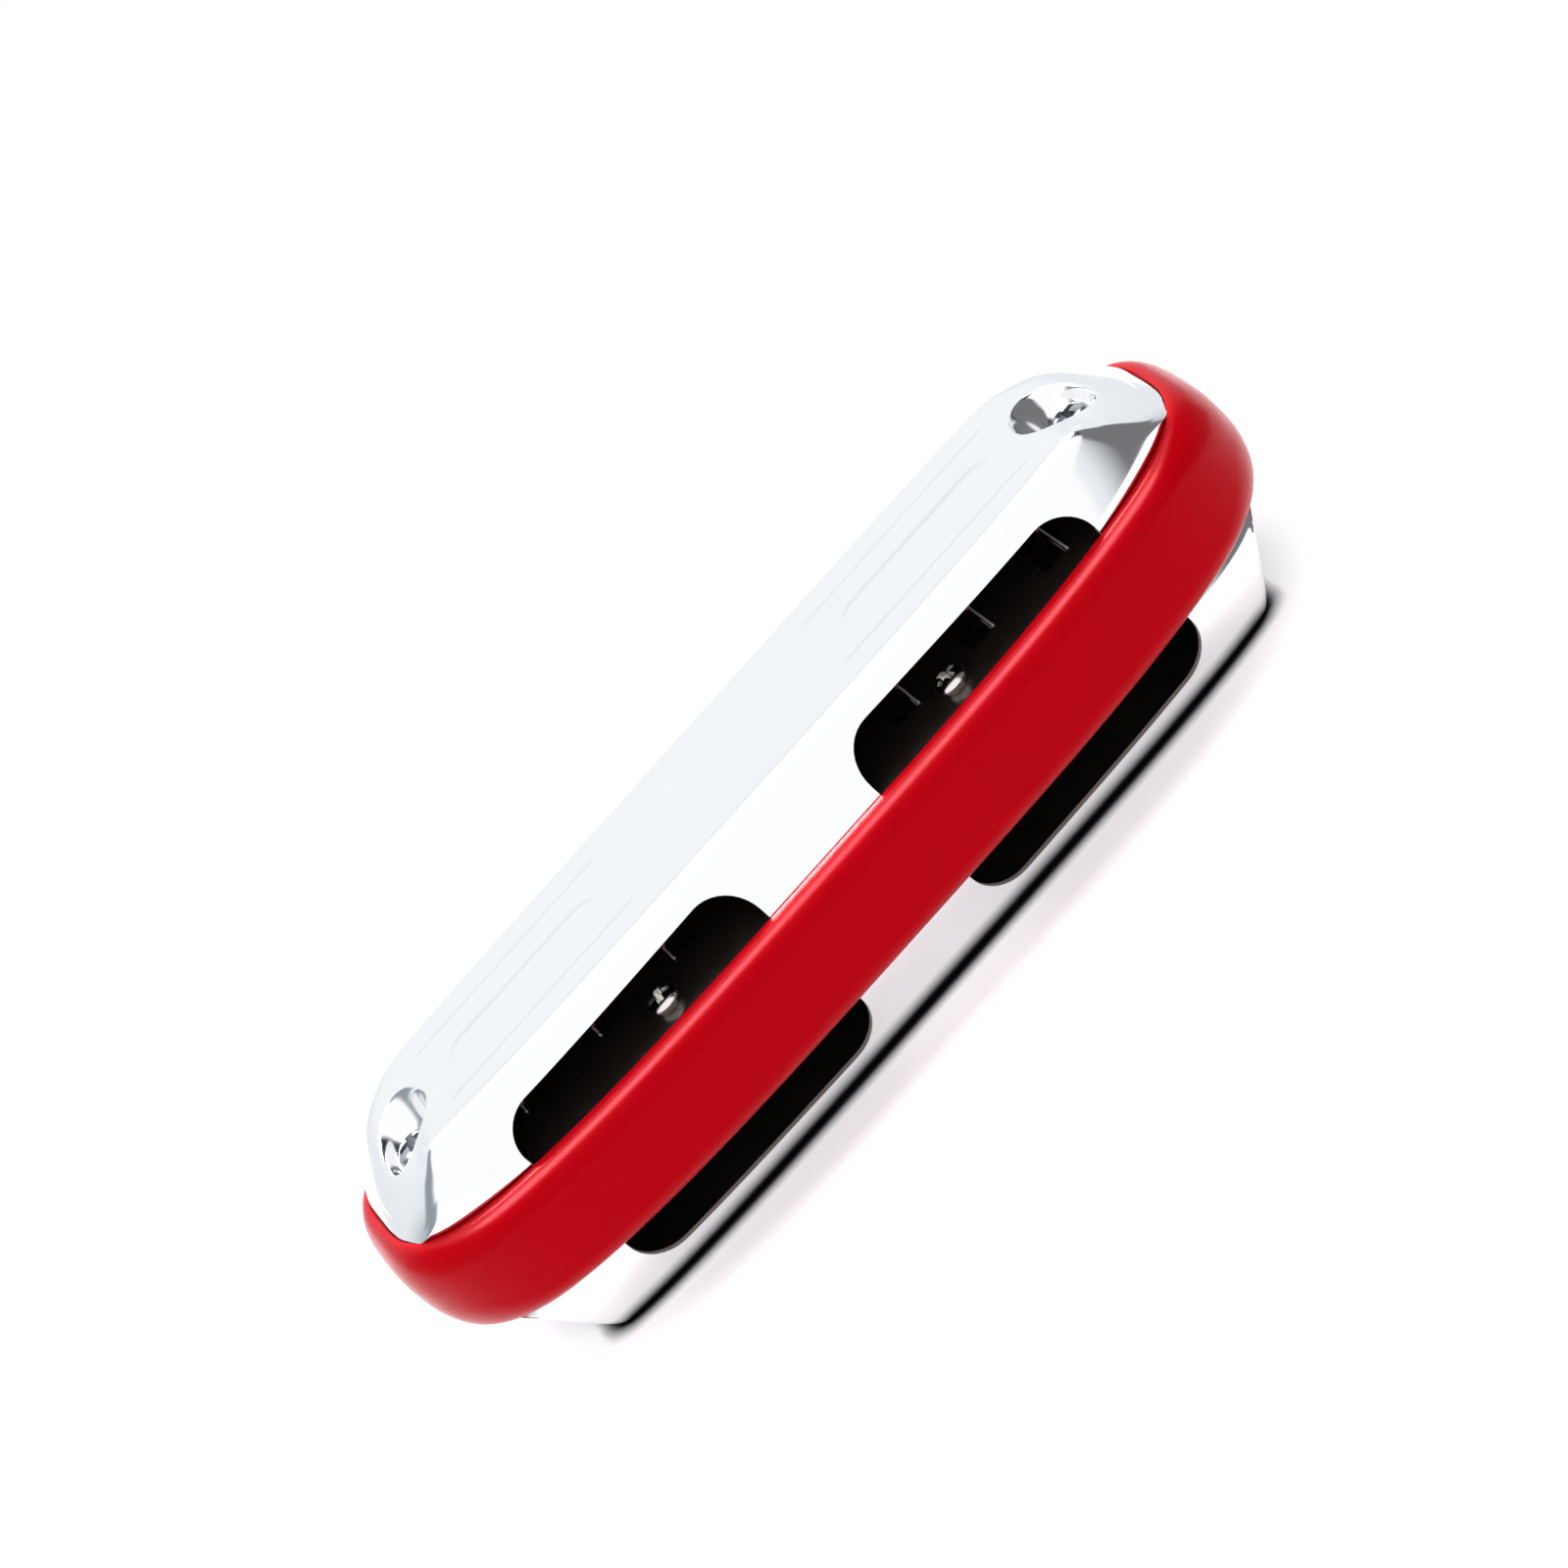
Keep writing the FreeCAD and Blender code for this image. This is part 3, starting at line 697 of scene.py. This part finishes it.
def edge_rings(sign):
    """Rings over a rounded edge, from the recess outwards, above or below."""
    rings = [foot_ring(RECESS_CLEARANCE, plate_level(sign)),
             foot_ring(RECESS_CLEARANCE, middle + sign * (lip_top - middle))]
    depth = edge_depth()
    for step in range(EDGE_STEPS + 1):
        turn = math.pi / 2 * (1 - step / EDGE_STEPS)
        level = foot_ring(COMB_LIP - EDGE_ACROSS * (1 - math.cos(turn)), 0)
        level[:, 2] = lip_top - middle - depth * (1 - math.sin(turn))
        level[:, 2] = middle + sign * level[:, 2]
        rings.append(level)
    return rings


def plate_level(sign):
    """The height of a recess floor, where the reed plate lies."""
    return middle + sign * (plate_low.z - middle)


def make_comb():
    rings = edge_rings(1) + [foot_ring(COMB_LIP, middle)] + edge_rings(-1)[::-1]
    piece = ring_mesh("comb_moulding", rings[::-1])
    first = -(HOLE_COUNT - 1) / 2 * HOLE_PITCH
    mouth = block("mouths", (first - HOLE_WIDTH / 2, comb_low.y - MM,
                             middle - MOUTH_HEIGHT / 2),
                  (first + HOLE_WIDTH / 2, comb_low.y + MOUTH_WALL + MM,
                   middle + MOUTH_HEIGHT / 2), 1, MOUTH_CORNER, None,
                  MOUTH_CORNER_STEPS)
    row_along_x(mouth, HOLE_COUNT, HOLE_PITCH, red_plastic)
    cutters = [mouth]
    for number in range(HOLE_COUNT):
        centre = first + number * HOLE_PITCH
        reed_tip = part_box("blow_reed_%d" % (number + 1))[1][1]
        cutters.append(block("chamber", (centre - HOLE_WIDTH / 2,
                                         comb_low.y + MOUTH_WALL,
                                         plate_level(-1) - MM),
                             (centre + HOLE_WIDTH / 2, reed_tip + CHAMBER_PAST_REED,
                              plate_level(1) + MM)))
    take_away(piece, cutters)
    smooth(piece)
    finish(piece, red_plastic)
    return piece


# Screws and slot edges
HEAD_STEPS = 9
HEAD_RIM_SHARE = 0.35
HEAD_UNDERSIDE_SHARE = 0.94
HEAD_FULLNESS = 0.7
CROSS_TURN = 0.4
CROSS_LENGTH_SHARE = 0.66
CROSS_WIDTH_SHARE = 0.19
CROSS_DEPTH_SHARE = 0.6
EDGE_WIDTH = 0.17 * MM
EDGE_HEIGHT = 0.14 * MM
SLOT_HALF_WIDTH = 1.1 * MM
PLATE_SCREW_SHANK = 0.8 * MM
PLATE_SCREW_HEAD = 1.4 * MM
REAR_SCREW_FROM_BACK = 6.0 * MM
FRONT_SCREW_FROM_END = 11.2 * MM
FRONT_SCREW_FROM_FRONT = 7.6 * MM
COVER_SCREW_SHANK = 1.0 * MM
COVER_SCREW_HEAD = 1.7 * MM


def screw(centre, low, seat, high, shank, head, turn):
    """A screw with a domed head and a cross recess."""
    height = high - seat
    profile = [(shank, low), (shank, seat), (HEAD_UNDERSIDE_SHARE * head, seat)]
    for step in range(HEAD_STEPS):
        rising = math.pi / 2 * step / HEAD_STEPS
        level = HEAD_RIM_SHARE + (1 - HEAD_RIM_SHARE) * math.sin(rising)
        profile.append((head * math.cos(rising) ** HEAD_FULLNESS, seat + height * level))
    piece = turned("screw", profile, centre)
    arms = []
    for angle in (turn, turn + math.pi / 2):
        length, width = CROSS_LENGTH_SHARE * head, CROSS_WIDTH_SHARE * head
        arm = block("arm", (-length, -width, high - CROSS_DEPTH_SHARE * height),
                    (length, width, high + height))
        arm.data.transform(Matrix.Translation((*centre, 0)) @ Matrix.Rotation(angle, 4, "Z"))
        arms.append(arm)
    take_away(piece, arms)
    return piece


def make_screws(name, node, places, seat, shank, head, steel):
    low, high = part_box(node)
    made = gather(name, [screw(centre, low[2], seat, high[2], shank, head,
                               CROSS_TURN + number)
                         for number, centre in enumerate(places)])
    smooth(made, 40)
    finish(made, steel)
    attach(made, "harmonica")
    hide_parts(node)


def make_slot_edges():
    """A thin raised burr beside each upper slot, coloured near-white as a painted glint."""
    made = []
    for number in range(HOLE_COUNT):
        centre = (number - (HOLE_COUNT - 1) / 2) * HOLE_PITCH
        side = math.copysign(1, centre)
        reed_low, reed_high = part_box("blow_reed_%d" % (number + 1))
        near = centre + side * SLOT_HALF_WIDTH
        ends = sorted((near, near + side * EDGE_WIDTH))
        made.append(block("edge", (ends[0], reed_low[1], plate_high.z),
                          (ends[1], reed_high[1], plate_high.z + EDGE_HEIGHT),
                          1, EDGE_WIDTH / 3, lambda spot: spot.z > plate_high.z, 3))
    edges = gather("slot_edges", made)
    finish(edges, slot_edge_glint)
    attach(edges, "harmonica")


# Pieces
comb = make_comb()
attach(comb, "harmonica")
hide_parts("comb")

top_cover = make_cover("top_cover_sheet", TOP_LEAN)
bottom_cover = make_bottom_cover()
for piece, node in ((top_cover, "top_cover"), (bottom_cover, "bottom_cover")):
    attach(piece, "harmonica")
    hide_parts(node)

rear_places = [(side * 2 * HOLE_PITCH, comb_high.y - REAR_SCREW_FROM_BACK)
               for side in (-1, 1)]
front_places = [(side * (comb_high.x - FRONT_SCREW_FROM_END),
                 comb_low.y + FRONT_SCREW_FROM_FRONT) for side in (-1, 1)]
cover_places = [(side * DIMPLE_ACROSS, DIMPLE_BACK) for side in (-1, 1)]
make_screws("plate_screws_turned", "reed_plate_screws", rear_places + front_places,
            plate_high.z, PLATE_SCREW_SHANK, PLATE_SCREW_HEAD, screw_steel)
make_screws("cover_screws_turned", "cover_screws", cover_places,
            cover_top - DIMPLE_DEPTH, COVER_SCREW_SHANK, COVER_SCREW_HEAD, dark_steel)
make_slot_edges()

node_finishes = {"plate_brass": plate_brass, "reed_brass": reed_brass,
                 "screw_steel": screw_steel, "red_plastic": red_plastic,
                 "chromed_sheet": chrome}
slot_of = {part["node"]: part["material_slot"] for part in frame["record"]["subparts"]}
for node, thing in frame["nodes"].items():
    for number in range(max(1, len(thing.material_slots))):
        if not thing.material_slots:
            thing.data.materials.append(node_finishes[slot_of[node]])
        else:
            thing.material_slots[number].material = node_finishes[slot_of[node]]


# Floor, light and camera
LOOK_AT = Vector((0, 5.34 * MM, middle))
CAMERA_AZIMUTH = 0.35
CAMERA_ELEVATION = 28
CAMERA_ROLL = -47.89
CAMERA_DISTANCE = 450.2 * MM
PHOTO_PIXELS = 1600
FOCAL_PIXELS = 6505
LOOK_AT_PIXEL = (852.2, 883.5)
DIFFUSE_SKY = 0.75
SIDE_FLAGS = (((88, 22, 44, -20, 58), (0.02, 0.03, 0.04)),
              ((-104, 10, 32, 0, 45), (0.32, 0.36, 0.4)))
# Painted contact shadow: an ambient occlusion mask darkens the floor's colour and glow
# toward this near-black beside the instrument.
CONTACT_REACH = 1.8 * MM
CONTACT_DARK = 0.42
CONTACT_CLEAR = 0.9
CONTACT_SAMPLES = 16
CONTACT_SHADOW_COLOUR = (0.002, 0.002, 0.003)
FLOOR_COLOUR = (0.88, 0.88, 0.89)
FLOOR_ROUGHNESS = 0.8
SKY_BRIGHTEST = (0.0, 0.3, 0.49, 0.63)
CARD_GLOW = 0.2
CARD_FADE = (40 * MM, 110 * MM)
CARD_LOW = (-81 * MM, -20 * MM, 0)
CARD_HIGH = (-80 * MM, 120 * MM, 60 * MM)
SKY_FRONT = (0.9, 0.93, 0.96)
SKY_BAND = (1.03, 1.05, 1.07)
SKY_BEHIND = (1.14, 1.14, 1.15)
SKY_TURN = (-0.75, 0.3)
FLAG_FADE_ABOVE = 12
FLAG_FADE_BELOW = 8
FLOOR_GLOW = 0.45
FLOOR_SIZE = 0.34


def make_floor():
    """A white floor, with a painted contact shadow where the instrument touches it."""
    bpy.ops.mesh.primitive_plane_add(size=FLOOR_SIZE)
    floor = bpy.context.object
    floor.name = "floor"
    made = bpy.data.materials.new("floor_white")
    made.use_nodes = True
    nodes, links = made.node_tree.nodes, made.node_tree.links
    shader = nodes["Principled BSDF"]
    shader.inputs["Roughness"].default_value = FLOOR_ROUGHNESS
    shader.inputs["Specular IOR Level"].default_value = 0
    # Ambient occlusion mixes both the floor colour and its glow toward near-black: a painted
    # contact shadow.
    near = nodes.new("ShaderNodeAmbientOcclusion")
    near.samples = CONTACT_SAMPLES
    near.inputs["Distance"].default_value = CONTACT_REACH
    painted_contact_shadow = nodes.new("ShaderNodeMapRange")
    painted_contact_shadow.inputs["From Min"].default_value = CONTACT_DARK
    painted_contact_shadow.inputs["From Max"].default_value = CONTACT_CLEAR
    links.new(near.outputs["AO"], painted_contact_shadow.inputs["Value"])
    colours = nodes.new("ShaderNodeMix")
    colours.data_type = "RGBA"
    colours.inputs["A"].default_value = (*CONTACT_SHADOW_COLOUR, 1)
    colours.inputs["B"].default_value = (*FLOOR_COLOUR, 1)
    links.new(painted_contact_shadow.outputs["Result"], colours.inputs["Factor"])
    links.new(colours.outputs["Result"], shader.inputs["Base Color"])
    links.new(colours.outputs["Result"], shader.inputs["Emission Color"])
    rays = nodes.new("ShaderNodeLightPath")
    mirrored = joined(nodes, links, "MAXIMUM", rays.outputs["Is Glossy Ray"],
                      rays.outputs["Is Transmission Ray"])
    seen = joined(nodes, links, "MAXIMUM", rays.outputs["Is Camera Ray"], mirrored)
    glow = joined(nodes, links, "MULTIPLY", seen, FLOOR_GLOW)
    links.new(glow, shader.inputs["Emission Strength"])
    floor.data.materials.append(made)


def flag(nodes, links, split, azimuth, core, edge, low, high):
    """How far a direction lies in a soft upright dark flag, from 0 to 1."""
    turn = math.radians(azimuth)
    x, y, z = (split.outputs[axis] for axis in "XYZ")
    along = joined(nodes, links, "ADD",
                   joined(nodes, links, "MULTIPLY", x, -math.sin(turn)),
                   joined(nodes, links, "MULTIPLY", y, math.cos(turn)))
    level = joined(nodes, links, "SUBTRACT", 1, joined(nodes, links, "MULTIPLY", z, z))
    level = joined(nodes, links, "SQRT", joined(nodes, links, "MAXIMUM", level, 0.0001), 0)
    facing = joined(nodes, links, "DIVIDE", along, level)
    beside = fade(nodes, links, facing, math.cos(math.radians(edge)),
                  math.cos(math.radians(core)))
    under = fade(nodes, links, z, math.sin(math.radians(high + FLAG_FADE_ABOVE)),
                 math.sin(math.radians(high)))
    over = fade(nodes, links, z, math.sin(math.radians(low - FLAG_FADE_BELOW)),
                math.sin(math.radians(low)))
    return joined(nodes, links, "MULTIPLY", beside,
                  joined(nodes, links, "MULTIPLY", under, over))


def make_world():
    """A white studio, a little bluer in front, with a darker flag at each side."""
    world = bpy.data.worlds.new("studio")
    bpy.context.scene.world = world
    world.use_nodes = True
    nodes, links = world.node_tree.nodes, world.node_tree.links
    back = nodes["Background"]
    place = nodes.new("ShaderNodeTexCoord")
    split = nodes.new("ShaderNodeSeparateXYZ")
    links.new(place.outputs["Generated"], split.inputs["Vector"])
    low, full, still, high = SKY_BRIGHTEST
    band = joined(nodes, links, "MULTIPLY",
                  fade(nodes, links, split.outputs["Z"], low, full),
                  fade(nodes, links, split.outputs["Z"], high, still))
    front = nodes.new("ShaderNodeMix")
    front.data_type = "RGBA"
    front.inputs["A"].default_value = (*SKY_FRONT, 1)
    front.inputs["B"].default_value = (*SKY_BAND, 1)
    links.new(band, front.inputs["Factor"])
    sky = nodes.new("ShaderNodeMix")
    sky.data_type = "RGBA"
    sky.inputs["B"].default_value = (*SKY_BEHIND, 1)
    links.new(front.outputs["Result"], sky.inputs["A"])
    links.new(fade(nodes, links, split.outputs["Y"], *SKY_TURN), sky.inputs["Factor"])
    colour = sky.outputs["Result"]
    rays = nodes.new("ShaderNodeLightPath")
    covers = [(flag(nodes, links, split, *place), dark) for place, dark in SIDE_FLAGS]
    covers.append((rays.outputs["Is Camera Ray"], (1, 1, 1)))
    for share, shade in covers:
        mixed = nodes.new("ShaderNodeMix")
        mixed.data_type = "RGBA"
        mixed.inputs["B"].default_value = (*shade, 1)
        links.new(share, mixed.inputs["Factor"])
        links.new(colour, mixed.inputs["A"])
        colour = mixed.outputs["Result"]
    links.new(colour, back.inputs["Color"])
    level = nodes.new("ShaderNodeMapRange")
    level.inputs["To Min"].default_value = 1
    level.inputs["To Max"].default_value = DIFFUSE_SKY
    links.new(rays.outputs["Is Diffuse Ray"], level.inputs["Value"])
    links.new(level.outputs["Result"], back.inputs["Strength"])


def make_card():
    """A dark card beside one end, brighter behind, seen only in reflections."""
    card = block("dark_card", CARD_LOW, CARD_HIGH)
    made = bpy.data.materials.new("card_dark")
    made.use_nodes = True
    nodes, links = made.node_tree.nodes, made.node_tree.links
    shader = nodes["Principled BSDF"]
    shader.inputs["Base Color"].default_value = (0, 0, 0, 1)
    shader.inputs["Specular IOR Level"].default_value = 0
    shader.inputs["Emission Color"].default_value = (0.95, 0.97, 1, 1)
    place = nodes.new("ShaderNodeTexCoord")
    split = nodes.new("ShaderNodeSeparateXYZ")
    links.new(place.outputs["Object"], split.inputs["Vector"])
    glow = fade(nodes, links, split.outputs["Y"], *CARD_FADE)
    glow = joined(nodes, links, "MAXIMUM", glow, CARD_GLOW)
    links.new(glow, shader.inputs["Emission Strength"])
    finish(card, made)
    card.visible_camera = False
    card.visible_diffuse = False
    card.visible_shadow = False


def make_lamp(name, place, aim, size, power, lights_all=True):
    data = bpy.data.lights.new(name, "AREA")
    data.shape = "RECTANGLE"
    data.size, data.size_y = size
    data.energy = power
    lamp = bpy.data.objects.new(name, data)
    bpy.context.collection.objects.link(lamp)
    lamp.visible_diffuse = lights_all
    lamp.location = place
    lamp.rotation_euler = (Vector(aim) - Vector(place)).to_track_quat("-Z", "Y").to_euler()


def make_camera():
    azimuth, elevation = math.radians(CAMERA_AZIMUTH), math.radians(CAMERA_ELEVATION)
    away = Vector((math.sin(azimuth) * math.cos(elevation),
                   math.cos(azimuth) * math.cos(elevation), math.sin(elevation)))
    level = away.cross(Vector((0, 0, -1))).normalized()
    upward = level.cross(-away)
    turn = math.radians(CAMERA_ROLL)
    right = level * math.cos(turn) + upward * math.sin(turn)
    up = upward * math.cos(turn) - level * math.sin(turn)
    per_pixel = CAMERA_DISTANCE / FOCAL_PIXELS
    off_right = (PHOTO_PIXELS / 2 - LOOK_AT_PIXEL[0]) * per_pixel
    off_up = (LOOK_AT_PIXEL[1] - PHOTO_PIXELS / 2) * per_pixel
    place = LOOK_AT + away * CAMERA_DISTANCE
    aim = LOOK_AT + right * off_right + up * off_up
    back = (place - aim).normalized()
    right = (right - back * right.dot(back)).normalized()
    up = back.cross(right)
    data = bpy.data.cameras.new("camera")
    data.lens = data.sensor_width * FOCAL_PIXELS / PHOTO_PIXELS
    data.clip_start = MM
    camera = bpy.data.objects.new("camera", data)
    bpy.context.collection.objects.link(camera)
    facing = Matrix((right, up, back)).transposed().to_4x4()
    camera.matrix_world = Matrix.Translation(place) @ facing
    bpy.context.scene.camera = camera


make_floor()
make_card()
make_world()
make_lamp("overhead_softbox", (0, -0.17, 0.6), (0, 0, 0), (1.0, 0.3), 4)
make_lamp("highlight_strip", (0, 0, 0.6), (0, 0, 0), (0.7, 0.2), 27, False)
make_camera()
bpy.context.scene.view_settings.view_transform = "Standard"
